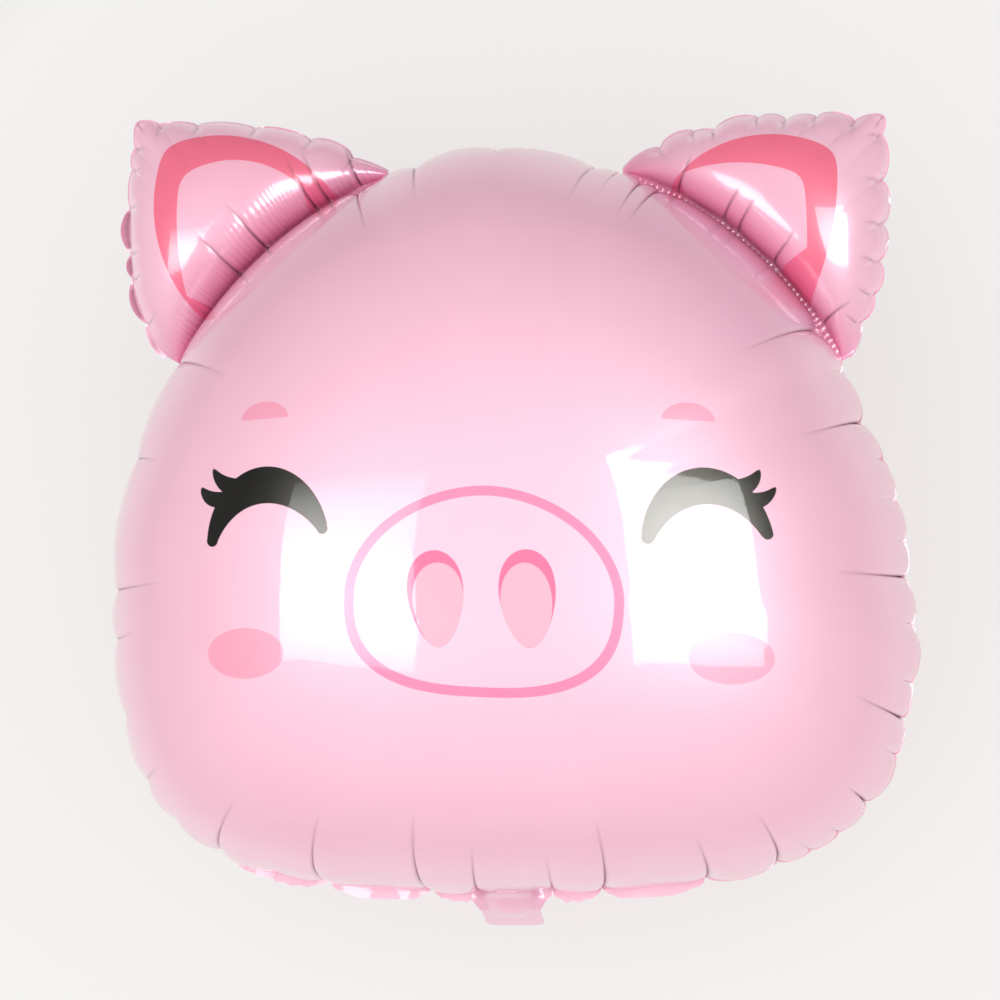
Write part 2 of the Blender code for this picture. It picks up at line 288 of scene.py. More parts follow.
@dataclass(frozen=True)
class Head:
    """The head's cell: its weld line, and the profile that the air gives each sheet."""

    film: Film
    width: float = 0.560
    crown_reach: float = 0.275
    chin_reach: float = 0.244
    cheek_drop: float = 0.052
    crown_power: float = 2.0
    jaw_power: float = 2.9
    rise: float = 0.160
    pleats: tuple[Pleat, ...] = HEAD_PLEATS
    unevenness: tuple[tuple[float, float], ...] = UNEVENNESS
    ear_roots: tuple[tuple[float, float], ...] = ((18.2, 62.4), (299.5, 342.8))
    neck_root: tuple[float, float] = (172.0, 187.0)
    chin: tuple[float, float] = (145.0, 224.0)
    chin_soft: float = 8.0
    chin_calm: float = 0.6
    pleat_sharpness: float = 0.55
    lean_limit: float = 1.15
    lobe_reach: float = 0.055
    line_width: float = 0.0085
    line_taper: float = 0.22
    line_before: float = 0.7
    groove: float = 0.0020
    groove_width: float = 0.0009
    overhang: float = 0.0032
    overhang_height: float = 0.009
    full_lobe: float = 0.035
    flat_round: float = 0.0008
    columns_per_lobe: int = 16
    crowding: float = 2.6
    weld_rings: int = 20
    weld_reach: float = 0.024
    weld_crowding: float = 1.25
    fold_reach: float = 0.145
    fold_ring_gap: float = 0.0035
    middle_rings: int = 24
    middle_gap: float = 0.004

    def radius(self, turn: np.ndarray) -> np.ndarray:
        """Gives the weld line's distance from the middle at a turn in radians."""
        spin = np.linspace(-math.pi, math.pi, 721)
        upper = np.cos(spin) > 0
        power = 2 / np.where(upper, self.crown_power, self.jaw_power)
        reach = np.where(upper, self.crown_reach + self.cheek_drop, self.chin_reach - self.cheek_drop)
        across = self.width / 2 * np.sign(np.sin(spin)) * np.abs(np.sin(spin)) ** power
        along = reach * np.sign(np.cos(spin)) * np.abs(np.cos(spin)) ** power - self.cheek_drop
        turns = np.arctan2(across, along)
        turns[0], turns[-1] = -math.pi, math.pi
        wrapped = (np.asarray(turn) + math.pi) % (2 * math.pi) - math.pi
        stops, offsets = np.array(self.unevenness).T
        return np.interp(wrapped, turns, np.hypot(across, along)) + MM * np.interp(
            np.degrees(wrapped) % 360, stops, offsets
        )

    def within(self, turn: np.ndarray, spans: Sequence[tuple[float, float]], soft: float = 2.0) -> np.ndarray:
        """Gives how far a turn in radians is within spans in degrees, from 0 outside to 1."""
        degrees = np.degrees(turn) % 360
        found = np.zeros_like(degrees)
        for first, last in spans:
            found = np.maximum(found, ease(np.minimum(degrees - first, last - degrees) / soft))
        return found

    def mean_radius(self) -> float:
        """Gives the weld line's mean distance from the middle."""
        return float(self.radius(np.linspace(0, 2 * math.pi, 361)[:-1]).mean())

    def profile(self) -> tuple[np.ndarray, np.ndarray]:
        """Gives slopes and how far along the film each is from the weld, in rising distance."""
        slope = np.linspace(RIM, 1e-4, 2000)
        step = np.diff(slope, prepend=slope[0])
        run = self.mean_radius() / (2 * np.sqrt(np.sin(slope)))
        return slope, np.cumsum(-step * run)

    def ring_distances(self) -> np.ndarray:
        """Gives the rings' distances from the weld: close near it, wide in the middle."""
        _, distance = self.profile()
        share = np.arange(1, self.weld_rings + 1) / self.weld_rings
        near = self.weld_reach * share**self.weld_crowding
        folds = np.arange(self.weld_reach + self.fold_ring_gap, self.fold_reach, self.fold_ring_gap)
        middle = np.linspace(self.fold_reach + MM, distance[-1] - self.middle_gap, self.middle_rings)
        return np.concatenate([[0.0], near, folds, middle])

    def pleat_turns(self, distance: np.ndarray) -> np.ndarray:
        """Gives every pleat's turn in radians at each distance from the weld, in rows."""
        rows = np.atleast_1d(distance)[:, None]
        lean = np.array([p.lean for p in self.pleats])
        length = np.array([p.length for p in self.pleats])
        start = np.array([p.turn for p in self.pleats])
        return np.radians(start + lean * np.minimum(rows / length, self.lean_limit))

    def rings(self, side: Side, flat_level: float) -> tuple[np.ndarray, np.ndarray]:
        """Works out one sheet of the head, from the weld inwards.

        Args:
            side: which sheet.
            flat_level: the most that the back sheet may stand off the seam, where it lies.

        Returns:
            Rows of rings of points, with heights above the seam, and how deep in a fold each is.
        """
        distance = self.ring_distances()[:, None]
        slope = np.interp(distance, *self.profile()[::-1])
        share = np.sqrt(np.sin(slope))
        turns = self.pleat_turns(distance[:, 0])
        following = np.concatenate([turns[:, 1:], turns[:, :1] + 2 * math.pi], axis=1)
        along = np.tile(crowded(self.columns_per_lobe, self.crowding), len(self.pleats))
        lobe = np.repeat(np.arange(len(self.pleats)), self.columns_per_lobe)
        after = (lobe + 1) % len(self.pleats)
        turn = turns[:, lobe] + (following - turns)[:, lobe] * along
        outline = self.radius(turn)
        mean = self.mean_radius()
        radius = share * (mean + (outline - mean) * share)
        across = (following - turns)[:, lobe] * radius
        drawn, fold = self.drawn_in(distance, across, along, lobe, after, turn)
        height = self.rise * pillow_height(slope) * np.ones_like(turn)
        radius = radius + drawn * np.sin(slope)
        height = height + drawn * np.cos(slope)
        if side is Side.BACK:
            height = soft_limit(height, flat_level, self.flat_round)
        return np.concatenate([radius[..., None] * direction(turn), height[..., None]], axis=-1), fold

    def drawn_in(
        self,
        distance: np.ndarray,
        across: np.ndarray,
        along: np.ndarray,
        lobe: np.ndarray,
        after: np.ndarray,
        turn: np.ndarray,
    ) -> tuple[np.ndarray, np.ndarray]:
        """Works out how far the pleats and lobes move the film along its normal.

        Args:
            distance: how far each ring is from the weld, as a column.
            across: each lobe's width at each point.
            along: each column's share of its lobe.
            lobe: the number of the pleat before each column.
            after: the number of the pleat after each column.
            turn: each point's turn in radians.

        Returns:
            The moves in rings by columns, outward above nought, and how deep in a fold each is.
        """
        depth = np.array([p.depth for p in self.pleats])
        length = np.array([p.length for p in self.pleats])
        line = np.array([p.line for p in self.pleats])
        moved = np.zeros_like(across)
        fold = np.zeros_like(across)
        for pleat, way in ((lobe, along), (after, 1 - along)):
            left = fade(distance, length[pleat])
            width = self.line_width * (self.line_taper + (1 - self.line_taper) * left)
            if way is not along:
                width = width * self.line_before
            sharp = depth[pleat] * self.pleat_sharpness * left * line[pleat]
            moved -= sharp * np.exp(-way * across / width)
            groove = self.groove * np.sqrt(left) * line[pleat]
            moved -= groove * np.exp(-way * across / self.groove_width)
            # The fold trait marks each groove's middle, where the material paints shade.
            fold += np.sqrt(left) * line[pleat] * np.exp(-((way * across / self.groove_width) ** 2))
        nearest = np.where(along < 0.5, lobe, after)
        rest = depth[nearest] * (1 - self.pleat_sharpness)
        moved -= rest * (1 - swell(along)) * ease(fade(distance, self.lobe_reach, 1.0))
        rising = distance / self.overhang_height
        chin = self.chin_calm * self.within(turn, [self.chin], self.chin_soft)
        calm = np.maximum(self.within(turn, [*self.ear_roots, self.neck_root]), chin)
        full = swell(along) * np.minimum(across / self.full_lobe, 1.0) * (1 - calm)
        return moved + self.overhang * full * rising * np.exp(1 - rising), fold


def soft_limit(height: np.ndarray, limit: float, blend: float) -> np.ndarray:
    """Keeps heights under a limit, with a small round where they reach it."""
    near = np.clip(blend - np.abs(height - limit), 0, None)
    return np.minimum(height, limit) - near**2 / (4 * blend)


@dataclass(frozen=True)
class Lobe:
    """A lobe of an ear's rim, up to the notch that ends it, in millimetres.

    x grows away from the head's middle. Bulge is how far the lobe stands out from the line
    between its notches, and flange is the widest of its margin.
    """

    x: float
    y: float
    bulge: float
    flange: float = 1.2


RIGHT_LOBES = (
    Lobe(109.8, 276.1, 5.1, 1.5),
    Lobe(133.0, 287.0, 4.8, 1.5),
    Lobe(148.1, 287.5, 1.5),
    Lobe(178.5, 295.0, 5.4),
    Lobe(197.9, 292.9, 4.2),
    Lobe(219.0, 294.6, 3.6),
    Lobe(245.4, 290.6, 5.5),
    Lobe(264.9, 294.8, 3.0, 1.0),
    Lobe(262.8, 282.3, 2.0, 1.0),
    Lobe(262.5, 250.6, 5.4, 1.0),
    Lobe(262.7, 219.8, 6.1, 1.0),
    Lobe(259.5, 194.5, 6.0, 1.0),
    Lobe(255.9, 171.6, 6.0, 1.0),
    Lobe(246.5, 152.8, 5.0, 1.0),
    Lobe(232.5, 124.0, 6.3, 1.0),
)
LEFT_LOBES = (
    Lobe(108.6, 274.4, 1.0, 1.5),
    Lobe(138.8, 287.4, 5.6, 1.5),
    Lobe(178.7, 296.6, 4.3),
    Lobe(220.3, 300.2, 3.8),
    Lobe(247.9, 301.2, 2.7),
    Lobe(263.8, 303.2, 2.5),
    Lobe(264.2, 285.6, 1.5, 1.0),
    Lobe(265.7, 270.7, 2.7, 1.0),
    Lobe(267.8, 243.9, 3.0, 1.0),
    Lobe(267.3, 210.7, 1.2, 7.5),
    Lobe(265.8, 192.7, 1.0, 4.6),
    Lobe(256.2, 161.6, 3.2, 5.2),
    Lobe(237.2, 133.9, 4.0, 3.6),
)


@dataclass(frozen=True)
class Crimps:
    """The fine, uneven crimps that an ear's root weld gathers the film into.

    A drift is how far the crimps stray from their pitch, as a share of it, and over what length.
    """

    pitch: float = 0.0038
    drifts: tuple[tuple[float, float], ...] = ((0.6, 0.011), (0.3, 0.0057))
    depth: float = 0.00034
    swing: float = 0.00026
    swing_length: float = 0.013
    calm_share: float = 0.12
    reach: float = 0.028
    left_over: float = 0.10
    end: float = 0.035
    # Painted shade in the crimps' troughs, and how far from the root it reaches.
    shade: float = 0.25
    shade_reach: float = 0.022

    def drawn(
        self, share: np.ndarray, run: np.ndarray, from_root: np.ndarray, strength: float
    ) -> tuple[np.ndarray, np.ndarray]:
        """Works out how far the crimps draw the film in.

        Args:
            share: each column's share of the root's length.
            run: each column's distance along the root.
            from_root: each point's distance from the root.
            strength: how strong the crimps are, 1 for full ones.

        Returns:
            How far the film is drawn in at each point, and how deep in a fold each is.
        """
        phase = run / self.pitch
        for stray, length in self.drifts:
            phase = phase + stray * np.sin(run / length)
        wave = 0.5 + 0.5 * np.cos(2 * math.pi * phase)
        wave = wave * ease(share / self.calm_share) * ease((1 - share) / self.calm_share)
        depth = self.depth + self.swing * np.sin(run / self.swing_length + 1)
        left = self.left_over + (1 - self.left_over) * fade(from_root, self.reach, 1.0)
        moved = strength * depth * wave * left * ease(1.6 - from_root / self.end)
        # The second value paints shade in the crimps' troughs near the root.
        return moved, self.shade * strength * wave * fade(from_root, self.shade_reach, 1.0)


@dataclass(frozen=True)
class Ear:
    """An ear's cell, with the weld along its root, its lobes and the film's folds at both.

    Its tip is where it starts at the root, and its corner is where the two even arcs under the
    lobes meet; both are in millimetres, with x away from the head's middle. Its root folds are
    at shares of the root's length, and crimping is how strong the fine crimps there are.
    """

    head: Head
    hand: Hand
    tip: tuple[float, float]
    corner: tuple[float, float]
    lobes: tuple[Lobe, ...]
    top_bulge: float
    side_bulge: float
    root_folds: tuple[float, ...]
    fold_reach: float
    crimping: float
    rise: float = 0.036
    corner_round: float = 0.012
    lobe_power: int = 6
    most_even: float = 1.15
    notch_pull: float = 0.0030
    notch_reach: float = 0.013
    notch_widths: tuple[float, float] = (0.001, 0.003)
    rim_calm: float = 0.003
    crease_width: float = 0.0007
    crease_share: float = 0.7
    # How strongly crease lines get painted shade, and how far the painted shade and reflection along the root
    # reach.
    crease_shade: float = 0.7
    nook_reach: float = 0.012
    crimps: Crimps = Crimps()
    fold_pull: float = 0.0018
    fold_power: float = 1.3
    fold_widths: tuple[float, float] = (0.0010, 0.002)
    fold_line: float = 0.0009
    columns: int = 320
    rows: int = 40

    def circle(self, start: np.ndarray, end: np.ndarray, bulge: float) -> tuple[np.ndarray, float]:
        """Gives the centre and radius of the arc from start to end that bulges to its left."""
        chord = end - start
        length = math.hypot(*chord)
        radius = (length**2 / 4 + bulge**2) / (2 * bulge)
        left = np.array([-chord[1], chord[0]]) / length
        return (start + end) / 2 + left * (bulge - radius), radius

    def notches(self) -> np.ndarray:
        """Gives the notches' places, from the inner tip to the outer one."""
        return MM * np.array([self.tip, *((lobe.x, lobe.y) for lobe in self.lobes)])

    def rim(self, turn: np.ndarray) -> tuple[np.ndarray, np.ndarray]:
        """Works out the outer weld from the lobes.

        Args:
            turn: each column's turn in radians.

        Returns:
            How far the weld is from the head's middle at each column, and its margin's width.
        """
        corners = self.notches()
        share = np.linspace(0, 1, 41)
        found = []
        for number, lobe in enumerate(self.lobes):
            start, chord = corners[number], corners[number + 1] - corners[number]
            length = math.hypot(*chord)
            left = np.array([-chord[1], chord[0]]) / length
            spots = start + share[:, None] * chord + (MM * lobe.bulge * swell(share))[:, None] * left
            margin = MM + (lobe.flange - 1) * MM * swell(share) ** 1.7
            found.append([np.arctan2(*spots.T), np.hypot(*spots.T), margin])
        turns, reach, margin = np.concatenate(found, axis=1)
        turns = np.maximum.accumulate(turns)
        return np.interp(turn, turns, reach), np.interp(turn, turns, margin)

    def creases(self, flat: np.ndarray) -> tuple[np.ndarray, np.ndarray]:
        """Works out the short creases that run in from the notches, square to the rim.

        Args:
            flat: points' places across and up.

        Returns:
            How far the film is drawn in at each point, and how deep in a fold each is.
        """
        corners = self.notches()
        least, spread = self.notch_widths
        drawn, fold = np.zeros(flat.shape[:-1]), np.zeros(flat.shape[:-1])
        for before, notch, after in zip(corners, corners[1:], corners[2:]):
            ahead = (after - before) / math.hypot(*(after - before))
            off = flat - notch
            inward = np.clip(off @ np.array([ahead[1], -ahead[0]]), 0, None)
            across = np.abs(off @ ahead)
            left = fade(inward, self.notch_reach, 1.0)
            drawn = drawn + self.notch_pull * left * np.exp(-across / (least + spread * left))
            line = fade(inward, self.notch_reach * self.crease_share, 0.7)
            fold = fold + line * np.exp(-((across / self.crease_width) ** 2))
        return drawn, fold

    def surface(self) -> tuple[np.ndarray, np.ndarray, np.ndarray, np.ndarray]:
        """Works out one sheet of the ear as rows from its root weld to its outer weld.

        Returns:
            Rows of points, with heights above the seam, inner tip first; how deep in a fold
            each is; how near the root; and the margin's width at each column.
        """
        tip, corner = MM * np.array(self.tip), MM * np.array(self.corner)
        end = MM * np.array([self.lobes[-1].x, self.lobes[-1].y])
        arcs = [self.circle(tip, corner, self.top_bulge), self.circle(corner, end, self.side_bulge)]
        turn = np.linspace(math.atan2(*tip), math.atan2(*end), self.columns + 1)
        way = direction(turn)
        root = self.head.radius(turn) + self.head.film.root_weld
        reaches = []
        for centre, radius in arcs:
            ahead = way @ centre
            reaches.append(ahead + np.sqrt(radius**2 - centre @ centre + ahead**2))
        near = np.clip(self.corner_round - np.abs(reaches[0] - reaches[1]), 0, None)
        even = np.clip(np.minimum(*reaches) - near**2 / (4 * self.corner_round) - root, 0, None)
        reach, margin = self.rim(turn)
        span = np.clip(reach - root, 0, None)
        share = ((1 - np.cos(np.linspace(0, math.pi, self.rows + 1))) / 2)[:, None]
        full = share * even
        for centre, radius in arcs:
            spot = (root + share * even)[..., None] * way
            full = full * np.clip(radius - np.linalg.norm(spot - centre, axis=-1), 0, None)
        full[-1] = 0
        slope = np.arcsin(1 - np.clip(full / full.max(), 0, 1))
        evened = np.minimum(even, self.most_even * span)
        from_root = share * evened + share**self.lobe_power * (span - evened)
        from_rim = span - from_root
        pull, crease = self.creases((root + from_root)[..., None] * way)
        pull = pull * ease(from_rim / self.rim_calm)
        gather, fold = self.gathers(turn, root, from_root)
        # Crease lines go into the fold trait, where the material paints shade on them.
        fold = fold + self.crease_shade * crease
        distance = root + from_root - (pull - gather) * np.sin(slope)
        height = self.rise * pillow_height(slope) - (pull + gather) * np.cos(slope)
        points = np.concatenate([distance[..., None] * way, np.clip(height, 0, None)[..., None]], axis=-1)
        # The nearness to the root sets the painted shade and painted reflection along the root.
        return points, fold, np.exp(-from_root / self.nook_reach), margin

    def gathers(
        self, turn: np.ndarray, root: np.ndarray, from_root: np.ndarray
    ) -> tuple[np.ndarray, np.ndarray]:
        """Works out the folds and crimps that the root weld draws into the film.

        Args:
            turn: each column's turn in radians.
            root: how far the root weld is from the head's middle, at each column.
            from_root: each point's distance from the root weld.

        Returns:
            How far the film is drawn in at each point, and how deep in a fold each is.
        """
        share = (turn - turn[0]) / (turn[-1] - turn[0])
        run = root * (turn - turn[0])
        drawn, depth = self.crimps.drawn(share, run, from_root, self.crimping)
        left = fade(from_root, self.fold_reach, self.fold_power)
        least, spread = self.fold_widths
        for fold in self.root_folds:
            off = np.abs(share - fold) * run[-1]
            drawn = drawn + self.fold_pull * left * np.exp(-off / (least + spread * left))
            # Painted shade along each root fold's line.
            depth = depth + np.sqrt(left) * np.exp(-((off / self.fold_line) ** 2))
        return drawn, depth


@dataclass(frozen=True)
class Neck:
    """The flattened neck that the balloon is filled through, bent down behind the chin.

    Its film is puffed up where it leaves the chin and has folds that run down both sides.
    """

    film: Film
    width: float = 0.0460
    root_flare: float = 0.030
    flare_length: float = 0.0040
    overlap: float = 0.006
    straight: float = 0.0015
    bend: float = math.radians(70)
    bend_radius: float = 0.010
    tab: float = 0.030
    corner: float = 0.008
    narrowing: float = 0.004
    puff: float = 0.022
    puff_start: float = 0.002
    puff_length: float = 0.0066
    puff_width: float = 0.0155
    puff_taper: float = 0.35
    taper_end: float = 0.02
    fold_height: float = 0.0009
    fold_pitch: float = 0.0030
    fold_spread: float = 0.3
    fold_start: float = 0.006
    fold_rise: float = 0.004
    fold_end: float = 0.016
    edge_wave: float = 0.01
    edge_pitch: float = 0.0031
    rows: int = 60
    columns: int = 64

    def surface(self, chin: float) -> np.ndarray:
        """Works out the neck's middle sheet and how far the film stands off it.

        Args:
            chin: the weld line's place below the head's middle.

        Returns:
            Rows of points with x, y, the height above the seam, and the stand-off's y and z.
        """
        length = self.overlap + self.straight + self.bend_radius * self.bend + self.tab
        run = np.linspace(0, length, self.rows + 1)[:, None] - self.overlap
        tilt = np.clip((run - self.straight) / self.bend_radius, 0, self.bend)
        beyond = np.clip(run - self.straight - self.bend_radius * self.bend, 0, None)
        before = np.minimum(run, self.straight)
        out = before + self.bend_radius * np.sin(tilt) + beyond * math.cos(self.bend)
        drop = self.bend_radius * (1 - np.cos(tilt)) + beyond * math.sin(self.bend)
        half = self.width / 2 + self.root_flare * np.exp(-(run + self.overlap) / self.flare_length)
        end = np.clip((run - run[-1] + self.corner) / self.corner, 0, 1)
        half = half - self.corner * (1 - np.sqrt(1 - end**2)) - self.narrowing * (1 - np.cos(tilt))
        share = np.linspace(-1, 1, self.columns + 1)[None, :]
        across = half * share
        beside = np.abs(across) - self.fold_spread * run
        crest = np.cos(beside / self.fold_pitch + 0.6) * ease(np.abs(across) / self.fold_start - 0.6)
        puff_width = self.puff_width - self.puff_taper * np.clip(run, 0, self.taper_end)
        middle = np.exp(-((across / puff_width) ** 4))
        puffed = self.puff * middle * np.exp(-np.clip(run + self.puff_start, 0, None) / self.puff_length)
        folded = self.fold_height * (1 + crest) * ease(run / self.fold_rise + 0.6) * (1 - share**6)
        folded = folded * ease(1.5 - run / self.fold_end)
        lift = puffed + folded
        across = across * (1 + self.edge_wave * np.cos(run / self.edge_pitch))
        y = -chin - out + 0 * across
        z = -drop + 0 * across
        return np.stack([across, y, z, -lift * np.sin(tilt), lift * np.cos(tilt)], axis=-1)


@dataclass(frozen=True)
class RootBand:
    """The flat weld between an ear and the head, with the fine beads that the film shrinks into."""

    overlap: float = 0.0046
    rows: int = 7
    bead: float = 0.00028
    bead_pitch: float = 0.0007

    def points(self, turn: np.ndarray, head_weld: np.ndarray, root: np.ndarray, level: float) -> np.ndarray:
        """Works out the band's rows of points, from under the head's film to the ear's root.

        Args:
            turn: each column's turn in radians.
            head_weld: the head's weld's distance from the head's middle at each column.
            root: the root's distance from the head's middle at each column.
            level: the band's height above the seam.

        Returns:
            The rows of points, without the root itself.
        """
        inner = head_weld - self.overlap
        ripple = 0.5 + 0.5 * np.cos(root * turn / self.bead_pitch)
        rows = []
        for share in np.linspace(0, 1, self.rows + 1)[:-1]:
            place = (inner + (root - inner) * share)[:, None] * direction(turn)
            bead = self.bead * ripple * math.sin(math.pi * share)
            rows.append(np.column_stack([place, level + bead]))
        return np.array(rows)


@dataclass
class Balloon:
    """The whole balloon: both sheets of film, with the head's cell, the ears and the neck.

    An ear's margin has two lines of points, at edge_parts of its width, with their strengths of painted fold
    shade.
    A chin flange is given by the turns where it starts, is widest and ends, and its width.
    """

    seam: float
    film: Film
    seed: int = 11
    wave_count: int = 120
    wave_height: float = 0.0014
    wave_at_weld: float = 0.35
    wave_reach: float = 0.006
    ear_lift: float = 0.0002
    neck_lift: float = 0.0003
    back_puff: float = 0.15
    plain_margin: float = 0.002
    flange_wave: float = 0.2
    edge_parts: tuple[float, float] = (0.25, 1.0)
    edge_shades: tuple[float, float] = (0.8, 0.4)
    flange_ripple: float = 0.15
    bare_margin: float = 0.1
    tip_rise: float = 0.00002
    # Painted shade beside the ear roots on the head, and a little of it all over the neck.
    nook_soft: float = 8.0
    nook_reach: float = 0.020
    neck_nook: float = 0.2
    neck_span: tuple[float, float] = (173.5, 185.5)
    chin_flanges: tuple[tuple[float, float, float, float], ...] = (
        (139.9, 144.0, 149.4, 0.0016),
        (149.4, 157.5, 164.8, 0.0090),
        (164.8, 171.0, 174.0, 0.0070),
        (184.5, 187.0, 192.6, 0.0050),
        (192.6, 199.0, 208.3, 0.0090),
        (208.3, 214.5, 221.5, 0.0060),
    )

    def __post_init__(self) -> None:
        """Sets up the cells and the waves that the shrinking film puts in the seam."""
        self.band = RootBand()
        self.head = Head(self.film)
        self.ears = [
            Ear(
                self.head,
                Hand.RIGHT,
                tip=(82.0, 258.0),
                corner=(255.0, 288.0),
                lobes=RIGHT_LOBES,
                top_bulge=0.021,
                side_bulge=0.019,
                root_folds=(0.20, 0.38, 0.44, 0.60, 0.86),
                fold_reach=0.026,
                crimping=0.15,
            ),
            Ear(
                self.head,
                Hand.LEFT,
                tip=(83.8, 264.8),
                corner=(256.0, 293.0),
                lobes=LEFT_LOBES,
                top_bulge=0.017,
                side_bulge=0.021,
                root_folds=(0.10, 0.22, 0.27, 0.49, 0.62),
                fold_reach=0.038,
                crimping=0.75,
            ),
        ]
        self.neck = Neck(self.film)
        dice = np.random.default_rng(self.seed)
        steps = dice.uniform(2.0, 5.0, self.wave_count)
        self.wave_turns = np.concatenate([[0], np.cumsum(steps)])
        self.wave_turns = self.wave_turns / self.wave_turns[-1] * 360
        self.wave_levels = dice.uniform(-1, 1, self.wave_count + 1) * self.wave_height
        self.wave_levels[-1] = self.wave_levels[0]

    def wave(self, turn: np.ndarray) -> np.ndarray:
        """Gives how far the margin's edge stands off the seam's plane at a turn in radians."""
        return np.interp(np.degrees(turn) % 360, self.wave_turns, self.wave_levels)

    def flange(self, turn: np.ndarray) -> np.ndarray:
        """Gives the margin's width: wider where it shows under the chin.

        Args:
            turn: the turns in radians.

        Returns:
            The width at each turn.
        """
        degrees = np.degrees(turn) % 360
        bare = self.head.within(turn, [*self.head.ear_roots, self.neck_span])
        width = self.film.margin * (1 - (1 - self.bare_margin) * bare)
        ripple = 1 - self.flange_ripple + self.flange_ripple * np.sin(degrees * 3.1)
        for first, peak, last, widest in self.chin_flanges:
            rise = np.interp(degrees, (first, peak, last), (0, 1, 0))
            width = width + widest * np.sqrt(rise) * ripple
        return width

    def add_head(self, shell: Shell) -> None:
        """Adds the head's cell, with its margin, as one closed body."""
        rings, fold = self.head.rings(shell.side, self.seam - 2 * self.film.thickness)
        weld = rings[0]
        turn = np.arctan2(weld[:, 0], weld[:, 1])
        wave = self.wave(turn)
        lift = shell.side.value * self.wave_at_weld * wave
        settle = np.exp(-rings[:, :, 2] / self.wave_reach)
        rings[:, :, 2] += self.film.thickness + lift * settle
        width = self.flange(turn)
        edge = weld[:, :2] + width[:, None] * direction(turn)
        edge_level = shell.side.value * wave
        loops = [
            np.column_stack([weld[:, :2], self.film.gap + lift]),
            np.column_stack([edge, self.film.gap + edge_level]),
            np.column_stack([edge, self.film.thickness + edge_level]),
        ]
        # Painted shade and painted reflection of the ear on the head beside each ear's root, fading inward
        # from the weld.
        away = np.linalg.norm(weld[:, :2], axis=1) - np.linalg.norm(rings[..., :2], axis=-1)
        beside = self.head.within(turn, self.head.ear_roots, self.nook_soft)
        nook = beside * np.exp(-np.clip(away, 0, None) / self.nook_reach)
        plain = np.zeros((len(loops), len(weld)))
        fold, nook = np.concatenate([plain, fold]), np.concatenate([plain, nook])
        numbers = shell.add_points(np.concatenate([np.array(loops), rings]), fold=fold, nook=nook)
        shell.add_grid(numbers, closed=True)
        shell.add_fan(numbers[0], np.array([0, 0, self.film.gap]))
        top = rings[-1, :, 2].max() + (0 if shell.side is Side.BACK else self.tip_rise)
        shell.add_fan(numbers[-1], np.array([0, 0, top]))

    def add_ear(self, shell: Shell, ear: Ear) -> None:
        """Adds one ear's cell, with its margin and the flat weld along its root."""
        rows, fold, nook, margin = ear.surface()
        base = self.film.thickness + self.ear_lift
        rows[:, :, 2] += base
        root, rim = rows[0], rows[-1]
        turn = np.arctan2(root[:, 0], root[:, 1])
        band = self.band.points(turn, self.head.radius(turn), np.linalg.norm(root[:, :2], axis=1), base)
        rim_turn = np.arctan2(rim[:, 0], rim[:, 1])
        way = self.rim_normals(rim[:, :2])
        calm = np.clip(2 - margin / self.plain_margin, self.flange_wave, 1)
        wave = shell.side.value * self.wave(rim_turn) * calm
        edges = [
            np.column_stack([rim[:, :2] + (margin * part)[:, None] * way, base + wave * part])
            for part in self.edge_parts
        ]
        grid = np.concatenate([band, rows, np.array(edges)])
        grid[:, :, 0] *= ear.hand.value
        # Where the margin is wide it gets painted shade through both traits; the root band gets the root's
        # full painted shade.
        dark = np.clip(margin / self.plain_margin - 1, 0, 1)[None]
        plain = np.zeros(band.shape[:2])
        fold = np.concatenate([plain, fold, *(shade * dark for shade in self.edge_shades)])
        nook = np.concatenate([plain + 1, nook, dark, dark])
        numbers = shell.add_points(grid, fold=fold, nook=nook, ear=1.0)
        shell.add_grid(numbers, closed=False)
        loop = np.concatenate([numbers[0], numbers[1:, -1], numbers[-1, -2::-1], numbers[-2:0:-1, 0]])
        flat = grid.reshape(-1, 3)[loop - numbers[0, 0]]
        flat[:, 2] -= base - self.film.gap
        under = shell.add_points(flat, ear=1.0)
        shell.add_grid(np.stack([loop, under]), closed=True)
        middle = np.array([*grid[len(grid) // 2, grid.shape[1] // 2, :2], self.film.gap])
        shell.add_fan(under, middle, ear=1.0)

    @staticmethod
    def rim_normals(outline: np.ndarray, rounds: int = 12) -> np.ndarray:
        """Gives level unit vectors out from an open outline that runs clockwise.

        Args:
            outline: the outline's points.
            rounds: how often the outline is smoothed first.

        Returns:
            One vector for each point.
        """
        smooth = outline.copy()
        for _ in range(rounds):
            smooth[1:-1] = (smooth[:-2] + smooth[1:-1] * 2 + smooth[2:]) / 4
        ahead = np.gradient(smooth, axis=0)
        ahead /= np.linalg.norm(ahead, axis=1)[:, None]
        return np.column_stack([-ahead[:, 1], ahead[:, 0]])

    def add_neck(self, shell: Shell) -> None:
        """Adds one sheet of the neck."""
        found = self.neck.surface(self.head.chin_reach)
        side = shell.side.value
        tilt = np.arctan2(-found[..., 3], found[..., 4])[..., None]
        normal = np.concatenate([0 * tilt, -np.sin(tilt), np.cos(tilt)], axis=-1)
        middle = found[..., :3]
        lift = np.hypot(found[..., 3], found[..., 4])[..., None]
        base = self.film.thickness + self.neck_lift
        upper = middle + side * normal * (lift * (self.back_puff if side < 0 else 1.0) + base)
        lower = middle + side * normal * self.film.gap
        upper[..., 2] *= side
        lower[..., 2] *= side
        for sheet in (upper, lower):
            # The neck gets a little painted shade all over.
            numbers = shell.add_points(sheet, nook=self.neck_nook)
            shell.add_grid(numbers, closed=False)
        first = numbers - numbers.size
        loops = [
            np.concatenate([n[0], n[1:, -1], n[-1, -2::-1], n[-2:0:-1, 0]]) for n in (first, numbers)
        ]
        shell.add_grid(np.stack(loops), closed=True)

